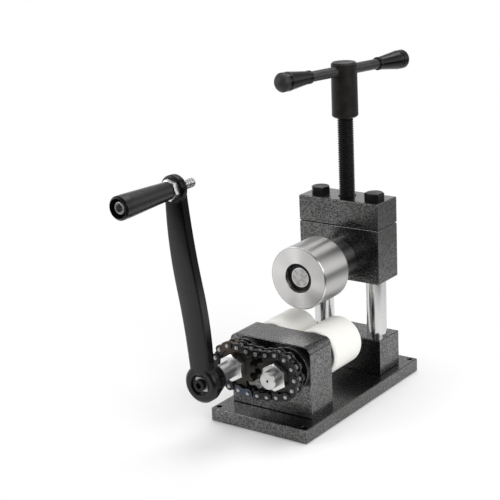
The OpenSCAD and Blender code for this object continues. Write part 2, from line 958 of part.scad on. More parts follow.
// Hub of the T-handle, closed at the top and bored for the screw and the cross bar.
module handle_hub() {
    edge = 1.4;
    lead = (hub_d - hub_top_d) / 2;
    color("#2a2a2c")
    translate([0, head_y, 0])
        difference() {
            union() {
                translate([0, 0, hub_z]) cylinder(d1 = hub_d - 2 * edge, d2 = hub_d, h = edge);
                translate([0, 0, hub_z + edge])
                    cylinder(d1 = hub_d, d2 = hub_top_d, h = hub_h - 2 * edge);
                translate([0, 0, hub_top - edge])
                    cylinder(d1 = hub_top_d, d2 = hub_top_d - 2 * edge, h = edge);
            }
            translate([0, 0, hub_z - cut]) cylinder(d = screw_d, h = screw_grip + cut);
            translate([0, 0, bar_z]) rotate(bar_turn) rotate([0, 90, 0])
                cylinder(d = bar_d, h = 2 * hub_d, center = true);
            hub_pin_hole();
        }
}

module hub_pin_hole() {
    translate([0, 0, hub_z + screw_grip / 2]) rotate(pin_turn) rotate([0, 90, 0])
        cylinder(d = hub_pin_d, h = 2 * hub_d, center = true);
}

// Dowel between hub and screw, ground flush with the hub.
module hub_pin() {
    color("#26262a")
    translate([0, head_y, hub_z + screw_grip / 2]) rotate(pin_turn) rotate([0, 90, 0])
        cylinder(d = hub_pin_d, h = hub_top_d - 0.2, center = true);
}

module cross_bar() {
    color("#2a2a2c")
    translate([0, head_y, bar_z]) rotate(bar_turn) rotate([0, 90, 0])
        cylinder(d = bar_d, h = bar_len, center = true);
}

// Tapered grip on the end of the bar along local Z with a collar, groove and domed end.
module bar_grip() {
    inner = bar_grip_in;
    dome = bar_grip_dome;
    dome_h = dome - sqrt(pow(dome, 2) - pow(bar_grip_r2, 2));
    body = bar_grip_len - dome_h;
    difference() {
        union() {
            translate([0, 0, inner]) cylinder(r = bar_grip_r1 + 0.35, h = 3);
            translate([0, 0, inner + 2]) cylinder(r1 = bar_grip_r1, r2 = bar_grip_r2, h = body - 9);
            translate([0, 0, inner + body - 7.5]) cylinder(r = bar_grip_r2, h = 7.5);
            intersection() {
                translate([0, 0, inner + bar_grip_len - dome]) sphere(r = dome);
                translate([0, 0, inner + body - weld]) cylinder(r = bar_grip_r2, h = dome);
            }
        }
        translate([0, 0, inner - cut]) cylinder(d = bar_d, h = bar_sunk + cut);
        difference() {
            translate([0, 0, inner + body - 6]) cylinder(r = bar_grip_r2 + cut, h = 1);
            translate([0, 0, inner + body - 7]) cylinder(r = bar_grip_r2 - 0.6, h = 3);
        }
    }
}

module bar_grips() {
    color("#101012")
    for (side = [-90, 90])
        translate([0, head_y, bar_z]) rotate(bar_turn) rotate([0, side, 0]) bar_grip();
}

// Section of the arm for the sweep, with a crowned front that ends in a narrow flat. The lower
// half is thicker by a hair, so that the upper one can run into it.
module arm_section(at, side) {
    grow = side > 0 ? 0 : arm_step;
    half = arm_w / 2 + 1 + grow;
    front = arm_t / 2 + grow;
    depth = front + ridge_h + front;
    crown = (half * half - ridge_w * ridge_w / 4 - ridge_h * ridge_h) / 2 / ridge_h;
    intersection() {
        translate([at + (side > 0 ? -front : front - depth), -half]) square([depth, 2 * half]);
        translate([at + side * (front - crown), 0]) circle(sqrt(crown * crown + half * half));
    }
}

// Frame with local X along Y, local Y up and local Z along X.
module upright() {
    rotate([90, 0, 90]) children();
}

// Outline of the arm from the front: two long arcs, widest below the middle.
module arm_outline() {
    intersection_for (s = [-1, 1])
        translate([s * (arm_bulge - arm_w / 2), 0, arm_mid])
            rod(eye_front - 2 * eye_t, boss_back + eye_t, 2 * arm_bulge, $fn = 720);
}

// Half of the arm, on the lower or the upper of two equal arcs: together an S that leaves the
// boss and reaches the eye upright.
module arm_half(side) {
    upper = side > 0;
    translate([0, arm_y + (upper ? arm_r - crank_offset : -arm_r), shaft_z + (upper ? crank_len : 0)])
        upright() rotate(upper ? 180 : 0)
            rotate_extrude(angle = arm_turn + (upper ? arm_lap : 0), $fn = 720)
                arm_section(arm_r, side);
}

module crank_arm() {
    edge = 2;
    color("#222224")
    translate([-shaft_gap / 2, 0, shaft_z]) rotate([0, crank_lean, 0]) translate([0, 0, -shaft_z])
        difference() {
            union() {
                intersection() {
                    union() for (side = [-1, 1]) arm_half(side);
                    arm_outline();
                }
                translate([0, 0, shaft_z]) {
                    taper(boss_front, boss_front + edge, 2 * (boss_r - edge), 2 * boss_r);
                    rod(boss_front + edge, boss_front + boss_rim, 2 * boss_r);
                    taper(boss_front + boss_rim, boss_back, 2 * boss_r, 2 * boss_tail_r);
                }
                translate([0, 0, shaft_z + crank_len]) {
                    taper(eye_front, eye_front + 1, eye_d - 2, eye_d);
                    rod(eye_front + 1, eye_back - 1, eye_d);
                    taper(eye_back - 1, eye_back, eye_d, eye_d - 2);
                }
            }
            translate([0, 0, shaft_z]) rod(boss_front - eye_t, shaft_end, socket_d);
            translate([-square_w / 2 - fit, shaft_end - cut, shaft_z - square_w / 2 - fit])
                cube([square_w + 2 * fit, boss_len, square_w + 2 * fit]);
            translate([0, 0, shaft_z + crank_len]) rod(eye_front - cut, eye_back + eye_t, stud_d);
        }
}

module at_crank_end() {
    translate([-shaft_gap / 2, 0, shaft_z]) rotate([0, crank_lean, 0])
        translate([0, 0, crank_len]) children();
}

// Socket head screw that draws the crank onto the square of the shaft.
module crank_bolt() {
    color("#202022")
    at_drive()
        difference() {
            union() {
                rod(shaft_end - crank_head_h, shaft_end, crank_head_d);
                rod(shaft_end - weld, shaft_end + 16, crank_screw_d);
            }
            hex_rod(shaft_end - crank_head_h - cut, shaft_end - crank_head_h + 3, 5);
        }
}

// Long screw through the grip into the eye of the arm, tail free behind it.
module handle_stud() {
    head = 5;
    seat = grip_out + grip_sink - play;
    color("silver")
    at_crank_end()
        difference() {
            union() {
                rod(seat - head, seat, stud_head_d);
                rod(seat - weld, eye_back + stud_tail - 0.8, stud_d);
                taper(eye_back + stud_tail - 0.8, eye_back + stud_tail, stud_d, stud_d - 1.6);
            }
            hex_rod(seat - head - cut, seat - head + 3.5, stud_key);
        }
}

module handle_nut() {
    color("whitesmoke")
    at_crank_end() rotate([0, stud_nut_turn, 0])
        hex_nut(eye_front - stud_nut_t, eye_front, stud_nut_af, stud_d);
}

// Revolving grip, thicker towards its free end, with a sunk screw head.
module handle_grip() {
    small = grip_small_d;
    large = grip_large_d;
    edge = 1.4;
    color("#161618")
    at_crank_end()
        difference() {
            union() {
                taper(grip_out, grip_out + edge, large - 2 * edge, large);
                rod(grip_out + edge, grip_out + grip_rim, large);
                taper(grip_out + grip_rim, grip_in - 1, large, small);
                taper(grip_in - 1, grip_in, small, small - 2);
            }
            rod(grip_out - cut, grip_in + cut, stud_d + 2 * fit);
            rod(grip_out - cut, grip_out + grip_sink, grip_hole);
        }
}

base_plate();
base_screws();
front_block();
shaft_bushes();
rear_block();
guide_posts();
top_plate();
post_bolts();
lead_nut();
chain_inner_plates();
chain_outer_plates();
chain_master_link();
chain_offset_link();
chain_pins();
chain_rollers();
carriage_block();
carriage_bushes();
roll_axle();
axle_washer();
axle_nut();
axle_clip();
screw_keeper();
keeper_screws();
steel_roll();
roll_bearings();
press_screw();
handle_hub();
hub_pin();
cross_bar();
bar_grips();
drive_shaft();
drive_sprocket();
drive_set_screw();
drive_nut();
drive_roll();
drive_cap();
drive_cap_screw();
crank_arm();
crank_bolt();
handle_stud();
handle_nut();
handle_grip();
driven_shaft();
driven_sprocket();
driven_set_screw();
driven_nut();
driven_roll();
driven_cap();
driven_cap_screw();
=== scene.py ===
"""Looks of a hand-cranked ring bending tool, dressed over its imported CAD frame. Metres, +Z up."""
import math

import bmesh
import bpy
from mathutils import Matrix, Vector


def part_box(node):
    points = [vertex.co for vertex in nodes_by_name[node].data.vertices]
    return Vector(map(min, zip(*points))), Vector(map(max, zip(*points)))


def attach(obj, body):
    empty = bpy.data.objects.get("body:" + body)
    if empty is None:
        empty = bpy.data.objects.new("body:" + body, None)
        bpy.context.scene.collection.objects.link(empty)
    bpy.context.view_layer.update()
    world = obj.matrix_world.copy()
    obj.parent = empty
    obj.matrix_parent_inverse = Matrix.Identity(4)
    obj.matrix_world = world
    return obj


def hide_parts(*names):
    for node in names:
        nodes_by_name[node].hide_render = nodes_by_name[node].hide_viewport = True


MM = 0.001
X_AXIS = 0
Y_AXIS = 1
Z_AXIS = 2

# Camera fitted to the photograph
CAMERA_PLACE = Vector((0.61917, -0.92601, 0.47293))
CAMERA_TARGET = Vector((-0.06176, -0.00719, 0.12622))
CAMERA_ROLL = math.radians(-2.74)
CAMERA_LENS = 98.47
CAMERA_SENSOR = 36.0

# Press screw
SCREW_PITCH = 2.0 * MM
SCREW_THREAD_DEPTH = 0.85 * MM
SCREW_SEGMENTS = 40
SHOULDER_GAP = 0.1 * MM
NECK_RADIUS = 4.5 * MM
NECK_LENGTH = 4.3 * MM
BUTTON_RADIUS = 6.5 * MM
BUTTON_BEVEL = 0.4 * MM

# Handle stud
STUD_PITCH = 1.25 * MM
STUD_THREAD_DEPTH = 0.68 * MM
STUD_SEGMENTS = 36
STUD_HEAD_STEP = 1.0 * MM
STUD_HEAD_HEIGHT = 5.0 * MM
STUD_BEVEL = 0.4 * MM
KEY_RADIUS = 3.0 * MM
KEY_DEPTH = 3.5 * MM
KEY_FLATS = 6

# Section of a thread ridge as shares of its height and of the pitch
THREAD_RIDGE = ((0, 0.0), (1, 0.32), (1, 0.48), (0, 0.80))
THREAD_SUNK = 0.05 * MM
THREAD_RUN_OUT_TURNS = 0.25
THREAD_LEAST_RISE = 0.04

# Marks on the CAD pieces
SHAFT_RADIUS = 8.5 * MM
AXLE_COLLAR_RADIUS = 12 * MM
# Radius of the painted shade dot for a centre hole
CENTRE_HOLE_RADIUS = 0.9 * MM
# Length of the roll's side, next to its back, painted dark with the back as shade
ROLL_BACK_DEPTH = 0.4 * MM
BAR_GRIP_DOME = 7 * MM
# Heights between which the arm's +X side gets painted shade
ARM_SHADED_SIDE_HEIGHTS = (120 * MM, 155 * MM)
STAIN_SHIFT = Vector((-8, -3, 20)) * MM

# Stage and light
FLOOR_REACH = 6.0
FLOOR_DROP = 0.2 * MM
WORLD_LIGHT = 0.45
LAMP_AIM = (0, 0, 0.12)

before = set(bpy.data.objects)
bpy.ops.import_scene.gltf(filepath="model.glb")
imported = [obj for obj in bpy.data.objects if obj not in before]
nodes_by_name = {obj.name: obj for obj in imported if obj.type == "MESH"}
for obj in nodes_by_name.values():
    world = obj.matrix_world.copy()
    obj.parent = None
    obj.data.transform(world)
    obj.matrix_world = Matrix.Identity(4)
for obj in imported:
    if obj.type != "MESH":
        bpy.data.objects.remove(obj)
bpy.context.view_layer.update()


def centre(node):
    """Middle of a node's box."""
    low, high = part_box(node)
    return (Vector(low) + Vector(high)) / 2


roll_at = centre("steel_roll")
drive_at = centre("drive_roll")
driven_at = centre("driven_roll")
post_at = centre("guide_posts")
stain_at = centre("drive_sprocket") + STAIN_SHIFT


# Material helpers

def material(name):
    """New node material and its tree and Principled shader."""
    made = bpy.data.materials.new(name)
    made.use_nodes = True
    tree = made.node_tree
    return made, tree, tree.nodes["Principled BSDF"]


def put(tree, target, value):
    """Links a socket, or sets a plain value."""
    if isinstance(value, bpy.types.NodeSocket):
        tree.links.new(value, target)
    else:
        target.default_value = value


def node(tree, kind, inputs=(), **settings):
    """Adds a shader node with settings and inputs by name or number."""
    made = tree.nodes.new("ShaderNode" + kind)
    for key, value in settings.items():
        setattr(made, key, value)
    for key, value in dict(inputs).items():
        put(tree, made.inputs[key], value)
    return made


def place(tree):
    """Position on the object in metres; it moves with the piece."""
    return node(tree, "TexCoord").outputs["Object"]


def component(tree, vector, axis):
    """One of the three numbers of a vector."""
    return node(tree, "SeparateXYZ", {0: vector}).outputs[axis]


def dot_product(tree, first, second):
    made = node(tree, "VectorMath", {0: first, 1: second}, operation="DOT_PRODUCT")
    return made.outputs["Value"]


def math_node(tree, operation, first, second=0.0, third=0.0):
    made = node(tree, "Math", {0: first, 1: second, 2: third}, operation=operation)
    return made.outputs[0]


def noise(tree, vector, scale, detail=3.0, roughness=0.5):
    made = node(tree, "TexNoise", {"Vector": vector, "Scale": scale, "Detail": detail,
                                   "Roughness": roughness})
    return made.outputs["Fac"]


def ramp(tree, value, low, high, out_low, out_high):
    """Smooth change from out_low to out_high while value goes from low to high."""
    made = node(tree, "MapRange", {"Value": value, "From Min": low, "From Max": high,
                                   "To Min": out_low, "To Max": out_high},
                interpolation_type="SMOOTHSTEP")
    return made.outputs["Result"]


def choose(tree, factor, first, second):
    """Number between two numbers or number sockets."""
    made = node(tree, "Mix", {0: factor, 2: first, 3: second}, data_type="FLOAT")
    return made.outputs[0]


def blend(tree, factor, first, second):
    """Colour between two colours or colour sockets."""
    made = node(tree, "Mix", {"Factor": factor}, data_type="RGBA")
    put(tree, made.inputs[6], first)
    put(tree, made.inputs[7], second)
    return made.outputs[2]


def grey(level, warmth=0.0):
    """Grey colour, turned to red by a positive warmth and to blue by a negative one."""
    return (level * (1 + warmth), level, level * (1 - warmth), 1.0)


def bump(tree, height, depth, strength=1.0, normal=None):
    """Normal bent by a height field; depth is the height of one unit in metres."""
    made = node(tree, "Bump", {"Height": height, "Distance": depth, "Strength": strength})
    if normal is not None:
        put(tree, made.inputs["Normal"], normal)
    return made.outputs["Normal"]


def rounded(tree, radius):
    """Normal that rounds sharp edges."""
    return node(tree, "Bevel", {"Radius": radius}, samples=6).outputs["Normal"]


def edge_mask(tree, soft_normal):
    """1 on sharp edges, 0 on flat ground."""
    true_normal = node(tree, "NewGeometry").outputs["Normal"]
    return ramp(tree, dot_product(tree, soft_normal, true_normal), 0.995, 0.86, 0.0, 1.0)


def lathe_place(tree, middle, axis):
    """Radius from a turning axis through a point, and length along that axis from the point."""
    shifted = node(tree, "VectorMath", {0: place(tree), 1: tuple(-v for v in middle)},
                   operation="ADD").outputs["Vector"]
    parts = node(tree, "SeparateXYZ", {0: shifted}).outputs
    across = [parts[i] for i in range(3) if i != axis]
    squares = [math_node(tree, "MULTIPLY", part, part) for part in across]
    radius = math_node(tree, "SQRT", math_node(tree, "ADD", squares[0], squares[1]))
    return radius, parts[axis]


def lathe_lines(tree, radius, along, per_metre):
    """Random fine rings, as a lathe tool leaves them."""
    vector = node(tree, "CombineXYZ", {0: radius, 1: along}).outputs[0]
    return noise(tree, vector, per_metre, detail=4.0, roughness=0.65)


# Materials

def hammered_paint():
    """Charcoal hammertone enamel: glossy black, with small dimples and metal flecks between them, and
    a painted highlight on every edge.
    """
    made, tree, shader = material("hammered_paint")
    at = place(tree)
    cells = node(tree, "TexVoronoi", {"Vector": at, "Scale": 700.0, "Smoothness": 0.6,
                                      "Randomness": 1.0}, feature="SMOOTH_F1").outputs["Distance"]
    grain = noise(tree, at, 920.0, detail=2.0)
    height = math_node(tree, "MULTIPLY_ADD", grain, 0.6, cells)
    flake = ramp(tree, height, 0.52, 0.62, 0.0, 1.0)
    fleck = ramp(tree, height, 0.60, 0.88, 0.0, 1.0)
    cloud = ramp(tree, noise(tree, at, 28.0, detail=4.0), 0.35, 0.7, 0.0, 1.0)
    soft = rounded(tree, 0.6 * MM)
    edge = edge_mask(tree, soft)
    body = blend(tree, fleck, blend(tree, flake, grey(0.003), grey(0.062)),
                 blend(tree, cloud, grey(0.20), grey(0.165, 0.02)))
    # Painted highlight: every edge is painted lighter and made metallic.
    body = blend(tree, math_node(tree, "MULTIPLY", edge, 0.7), body, grey(0.22))
    put(tree, shader.inputs["Base Color"], body)
    put(tree, shader.inputs["Roughness"], ramp(tree, grain, 0.3, 0.7, 0.18, 0.28))
    put(tree, shader.inputs["Metallic"], math_node(tree, "MAXIMUM", flake, edge))
    shader.inputs["Specular IOR Level"].default_value = 0.9
    put(tree, shader.inputs["Normal"], bump(tree, height, 0.15 * MM, 0.5, soft))
    return made


def black_oxide(name, level=0.008, roughness=0.34, warmth=0.03, shine=0.25, worn=0.09, metal_edges=False):
    """Blackened steel with faint smears; lighter edges: wear when low, a painted highlight when set
    high.
    """
    made, tree, shader = material(name)
    at = place(tree)
    smear = noise(tree, at, 160.0, detail=5.0)
    soft = rounded(tree, 0.4 * MM)
    edge = edge_mask(tree, soft)
    body = blend(tree, smear, grey(level * 0.75, warmth), grey(level * 1.5, warmth))
    # Edges lighter by the worn level: wear on the screws, a painted highlight on the bush flanges
    # where it is set high.
    body = blend(tree, math_node(tree, "MULTIPLY", edge, 0.5), body, grey(worn / 2))
    put(tree, shader.inputs["Base Color"], body)
    put(tree, shader.inputs["Roughness"],
        ramp(tree, smear, 0.3, 0.7, roughness - 0.06, roughness + 0.1))
    shader.inputs["Specular IOR Level"].default_value = shine
    if metal_edges:
        put(tree, shader.inputs["Metallic"], edge)
    put(tree, shader.inputs["Normal"], bump(tree, noise(tree, at, 2600.0), 0.012 * MM, 0.4, soft))
    return made


def turned_metal(name, middle, axis, level, roughness, warmth=0.0, lines=1800.0, depth=0.004,
                 stretch=0.0, dot=0.0, collar=0.0, rim=0.0, side=0.52, back=0.0, mottle=0.0):
    """Metal turned on a lathe about one axis. By radius: a painted shade dot for a centre hole, a
    dark collar, and a rim with a painted dark line, a painted chamfer highlight and the side beyond
    painted darker as shade. Along it: a back painted dark as shade. Mottle is the share of dull
    spots."""
    made, tree, shader = material(name)
    radius, along = lathe_place(tree, middle, axis)
    rings = lathe_lines(tree, radius, along, lines)
    smear = noise(tree, place(tree), 90.0, detail=4.0)
    soft = rounded(tree, 0.35 * MM)
    body = blend(tree, rings, grey(level * 0.88, warmth), grey(min(level * 1.1, 0.95), warmth))
    if mottle:
        spots = ramp(tree, noise(tree, place(tree), 230.0, detail=2.0), 0.40, 0.65, 0.0, mottle)
        body = blend(tree, spots, body, grey(level * 0.45, 3 * warmth))
    # Painted shade: a dark dot where a centre hole would be.
    if dot:
        body = blend(tree, ramp(tree, radius, dot, 1.4 * dot, 1.0, 0.0), body, grey(0.02))
    # Painted light at the rim: a dark line, a bright chamfer highlight, then the side painted darker
    # as shade.
    if rim:
        for inset, shade in ((1.1, 0.25), (0.8, 0.9), (0.15, side)):
            past = ramp(tree, radius, rim - inset * MM, rim - (inset - 0.1) * MM, 0.0, 1.0)
            body = blend(tree, past, body, grey(shade, warmth))
    if collar:
        body = blend(tree, ramp(tree, radius, collar, 1.05 * collar, 0.0, 1.0), body, grey(0.24))
    # Painted shade: the back face and the side next to it darkened.
    if back:
        body = blend(tree, ramp(tree, along, back, back + 0.2 * MM, 0.0, 1.0), body, grey(0.12))
    put(tree, shader.inputs["Base Color"], body)
    worn = math_node(tree, "MULTIPLY_ADD", smear, 0.06, roughness - 0.03)
    put(tree, shader.inputs["Roughness"], math_node(tree, "MULTIPLY_ADD", rings, 0.04, worn))
    shader.inputs["Metallic"].default_value = 1.0
    if stretch:
        shader.inputs["Anisotropic"].default_value = stretch
        shader.inputs["Anisotropic Rotation"].default_value = 0.25
        tangent = node(tree, "Tangent", direction_type="RADIAL", axis="XYZ"[axis])
        put(tree, shader.inputs["Tangent"], tangent.outputs[0])
    put(tree, shader.inputs["Normal"], bump(tree, rings, depth * MM, 1.0, soft))
    return made


def plated_nut(name, level=0.80):
    """Bright zinc on smooth flats."""
    made, tree, shader = material(name)
    smear = noise(tree, place(tree), 220.0, detail=4.0)
    put(tree, shader.inputs["Base Color"], blend(tree, smear, grey(level * 0.92), grey(level)))
    put(tree, shader.inputs["Roughness"], ramp(tree, smear, 0.3, 0.7, 0.26, 0.34))
    shader.inputs["Metallic"].default_value = 1.0
    put(tree, shader.inputs["Normal"], bump(tree, smear, 0.01 * MM, 0.4, rounded(tree, 0.3 * MM)))
    return made


def chain_metal(name, dark, light, roughness, stain_by=None, round_by=0.3, edge_by=0.5,
                painted_edge_level=0.40):
    """Oiled chain steel with dull patches, and brown old oil where stain_by puts it."""
    made, tree, shader = material(name)
    at = place(tree)
    patch = noise(tree, at, 240.0, detail=5.0)
    soft = rounded(tree, round_by * MM)
    body = blend(tree, patch, dark, light)
    if stain_by:
        body = blend(tree, stain_by(tree, at), body, (0.085, 0.062, 0.042, 1.0))
    # Edges painted towards the edge level: a painted highlight on plates, rollers and sprockets,
    # painted shade rims on the pin ends.
    edge = math_node(tree, "MULTIPLY", edge_mask(tree, soft), edge_by)
    body = blend(tree, edge, body, grey(painted_edge_level))
    put(tree, shader.inputs["Base Color"], body)
    shader.inputs["Metallic"].default_value = 0.9
    put(tree, shader.inputs["Roughness"],
        ramp(tree, patch, 0.3, 0.7, roughness - 0.06, roughness + 0.10))
    put(tree, shader.inputs["Normal"], bump(tree, noise(tree, at, 1500.0), 0.01 * MM, 0.5, soft))
    return made


def oil_stain(tree, at):
    """Patches of brown oil, thickest on the upper left of the driving sprocket."""
    reach = node(tree, "VectorMath", {0: at, 1: tuple(stain_at)}, operation="DISTANCE")
    near = ramp(tree, reach.outputs["Value"], 6 * MM, 17 * MM, 1.0, 0.04)
    patch = ramp(tree, noise(tree, at, 190.0, detail=4.0), 0.3, 0.6, 0.25, 1.0)
    return math_node(tree, "MULTIPLY", near, patch)


def nylon(middle):
    """Machined ivory plastic with faint tool rings."""
    made, tree, shader = material("nylon_ivory")
    radius, along = lathe_place(tree, middle, Y_AXIS)
    rings = lathe_lines(tree, radius, along, 900.0)
    tint = noise(tree, place(tree), 22.0, detail=3.0)
    body = blend(tree, tint, (0.86, 0.85, 0.80, 1.0), (0.91, 0.90, 0.87, 1.0))
    put(tree, shader.inputs["Base Color"], body)
    shader.inputs["Subsurface Weight"].default_value = 0.15
    shader.inputs["Subsurface Radius"].default_value = (0.004, 0.003, 0.002)
    put(tree, shader.inputs["Roughness"], ramp(tree, rings, 0.3, 0.7, 0.42, 0.55))
    put(tree, shader.inputs["Normal"], bump(tree, rings, 0.02 * MM, 0.6, rounded(tree, 0.5 * MM)))
    return made


def black_plastic(name, level, roughness, grain_depth, shine=0.5, dome=None, round_by=0.5,
                  shaded_side=None):
    """Smooth black with a fine skin. Dome is a middle, an axis and the distance from the middle
    past which a satin dome begins. Shaded side is the two heights between which faces towards +X
    turn partly metallic over near-black, as painted shade for the dark surroundings mirrored there."""
    made, tree, shader = material(name)
    at = place(tree)
    skin = noise(tree, at, 1900.0, detail=3.0)
    smear = noise(tree, at, 70.0, detail=4.0)
    body = blend(tree, smear, grey(level * 0.8), grey(level * 1.3))
    gloss = ramp(tree, smear, 0.3, 0.7, roughness - 0.04, roughness + 0.08)
    if dome:
        middle, axis, start = dome
        along = lathe_place(tree, middle, axis)[1]
        past = ramp(tree, math_node(tree, "ABSOLUTE", along), start, start + 1.0 * MM, 0.0, 1.0)
        body = blend(tree, past, body, grey(0.020))
        gloss = math_node(tree, "MULTIPLY_ADD", past, 0.28, gloss)
    # Painted shade: between the two heights, faces towards +X turn metallic over near-black, so they
    # mirror darker.
    if shaded_side:
        start, full = shaded_side
        facing = node(tree, "TexCoord").outputs["Normal"]
        side = ramp(tree, component(tree, facing, X_AXIS), 0.5, 0.75, 0.0, 0.65)
        upper = ramp(tree, component(tree, at, Z_AXIS), start, full, 0.0, 1.0)
        put(tree, shader.inputs["Metallic"], math_node(tree, "MULTIPLY", side, upper))
    put(tree, shader.inputs["Base Color"], body)
    shader.inputs["Specular IOR Level"].default_value = shine
    put(tree, shader.inputs["Roughness"], gloss)
    soft = rounded(tree, round_by * MM)
    put(tree, shader.inputs["Normal"], bump(tree, skin, grain_depth * MM, 0.6, soft))
    return made


def stud_zinc(middle, axis, head):
    """Bright zinc, with a slightly duller head before one place along the axis."""
    made, tree, shader = material("stud_zinc")
    along = lathe_place(tree, middle, axis)[1]
    on_head = ramp(tree, along, head, head + 0.2 * MM, 1.0, 0.0)
    smear = noise(tree, place(tree), 300.0, detail=4.0)
    soft = rounded(tree, 0.3 * MM)
    # Painted highlight: the head's edges keep the bright zinc; the rest of the head is duller.
    off_edge = ramp(tree, edge_mask(tree, soft), 0.2, 0.7, 1.0, 0.1)
    body = blend(tree, smear, grey(0.60), grey(0.80))
    body = blend(tree, math_node(tree, "MULTIPLY", on_head, off_edge), body, grey(0.60))
    put(tree, shader.inputs["Base Color"], body)
    shader.inputs["Metallic"].default_value = 1.0
    put(tree, shader.inputs["Roughness"], ramp(tree, smear, 0.3, 0.7, 0.22, 0.36))
    put(tree, shader.inputs["Normal"], soft)
    return made


# Materials on the CAD pieces

def dress(names, made):
    """Gives nodes a material in place of the one they came with."""
    for name in names:
        piece = nodes_by_name[name]
        piece.data.materials.clear()
        piece.data.materials.append(made)


dress(["base_plate", "front_block", "rear_block", "top_plate", "carriage_block"], hammered_paint())
dress(["base_screws", "post_bolts", "keeper_screws", "drive_set_screw", "driven_set_screw",
       "drive_cap_screw", "driven_cap_screw", "crank_bolt", "axle_clip"],
      black_oxide("black_oxide"))
dress(["handle_hub", "hub_pin"], black_oxide("handle_oxide", 0.010, 0.38, 0.08, 0.2))
dress(["cross_bar"], black_oxide("bar_oxide", 0.022, 0.30, -0.02, 0.45))
# Bush flanges and keeper: edges painted light grey and metallic as a painted highlight.
dress(["screw_keeper", "shaft_bushes"], black_oxide("bush_steel", 0.006, 0.30, worn=1.5, metal_edges=True))
dress(["guide_posts"],
      turned_metal("post_chrome", post_at, Z_AXIS, 0.66, 0.15, lines=400.0, depth=0.001))
dress(["lead_nut", "carriage_bushes"],
      turned_metal("bronze", centre("lead_nut"), Z_AXIS, 0.5, 0.32, warmth=0.35))
# The roll: rim with a painted dark line and chamfer highlight, side and back painted darker as shade.
roll_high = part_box("steel_roll")[1]
dress(["steel_roll"],
      turned_metal("roll_steel", roll_at, Y_AXIS, 0.77, 0.27, 0.012, stretch=0.9, depth=0.002,
                   rim=roll_high[0] - roll_at.x, back=roll_high[1] - roll_at.y - ROLL_BACK_DEPTH))
# The axle end: painted rim line and chamfer highlight, side painted darker as shade.
dress(["roll_axle", "axle_washer"],
      turned_metal("axle_steel", roll_at, Y_AXIS, 0.60, 0.30, 0.015, stretch=0.8,
                   collar=AXLE_COLLAR_RADIUS, mottle=0.6, rim=SHAFT_RADIUS))
dress(["roll_bearings"], black_plastic("bearing_seal", 0.006, 0.3, 0.01, 0.3))
dress(["drive_shaft", "drive_cap"],
      turned_metal("drive_steel", drive_at, Y_AXIS, 0.42, 0.36, depth=0.001, stretch=0.6))
# The driven shaft end: a painted shade dot for the centre hole, the painted rim, side painted darker
# as shade.
dress(["driven_shaft", "driven_cap"],
      turned_metal("driven_steel", driven_at, Y_AXIS, 0.70, 0.38, 0.008, depth=0.001, stretch=0.7,
                   dot=CENTRE_HOLE_RADIUS, rim=SHAFT_RADIUS, side=0.35))
dress(["drive_nut", "driven_nut", "axle_nut", "handle_nut"], plated_nut("nut_zinc"))
# Chain plates, rollers and sprockets keep the default light edges: a painted highlight.
dress(["chain_inner_plates", "chain_outer_plates", "chain_offset_link"],
      chain_metal("chain_steel", (0.016, 0.016, 0.019, 1.0), (0.040, 0.040, 0.046, 1.0), 0.30,
                  oil_stain))
dress(["chain_master_link"],
      chain_metal("master_steel", (0.035, 0.042, 0.062, 1.0), (0.075, 0.09, 0.13, 1.0), 0.28))
dress(["chain_rollers"], chain_metal("roller_steel", grey(0.20), grey(0.42, 0.02), 0.26, oil_stain))
# Pin ends: edges painted dark as shade.
dress(["chain_pins"],
      chain_metal("pin_steel", grey(0.30), grey(0.55, 0.03), 0.24, round_by=1.4, edge_by=1.0,
                  painted_edge_level=0.04))
dress(["drive_sprocket", "driven_sprocket"],
      chain_metal("sprocket_steel", (0.020, 0.019, 0.016, 1.0), (0.064, 0.061, 0.052, 1.0), 0.36,
                  oil_stain))
dress(["drive_roll"], nylon(drive_at))
dress(["driven_roll"], nylon(driven_at))
dress(["crank_arm"],
      black_plastic("crank_black", 0.002, 0.22, 0.004, 0.38, round_by=2.5,
                    shaded_side=ARM_SHADED_SIDE_HEIGHTS))
dress(["handle_grip"], black_plastic("grip_plastic", 0.004, 0.27, 0.005, 0.42))
grip_low, grip_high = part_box("bar_grips")
bar_axis = max((X_AXIS, Y_AXIS), key=lambda i: grip_high[i] - grip_low[i])
dome_start = (grip_high[bar_axis] - grip_low[bar_axis]) / 2 - BAR_GRIP_DOME
dress(["bar_grips"],
      black_plastic("bar_plastic", 0.002, 0.17, 0.0, 0.4,
                    (centre("bar_grips"), bar_axis, dome_start)))


# Press screw and handle stud with their threads

def spin_profile(bm, profile, segments, middle):
    """Closed revolve of (radius, z) points about a vertical axis; radius 0 closes the ends. A
    third value is the number of flats of that ring, with the radius to the flats."""
    rings = []
    for radius, z, *flats in profile:
        if radius == 0:
            rings.append([bm.verts.new((middle.x, middle.y, z))])
            continue
        ring = []
        for k in range(segments):
            angle = 2 * math.pi * k / segments
            reach = radius
            if flats:
                half = math.pi / flats[0]
                reach = radius / math.cos((angle + half) % (2 * half) - half)
            ring.append(bm.verts.new((middle.x + reach * math.cos(angle),
                                      middle.y + reach * math.sin(angle), z)))
        rings.append(ring)
    for low, high in zip(rings, rings[1:]):
        for k in range(segments):
            corners = [low[k % len(low)], low[(k + 1) % len(low)],
                       high[(k + 1) % len(high)], high[k % len(high)]]
            bm.faces.new(list(dict.fromkeys(corners)))


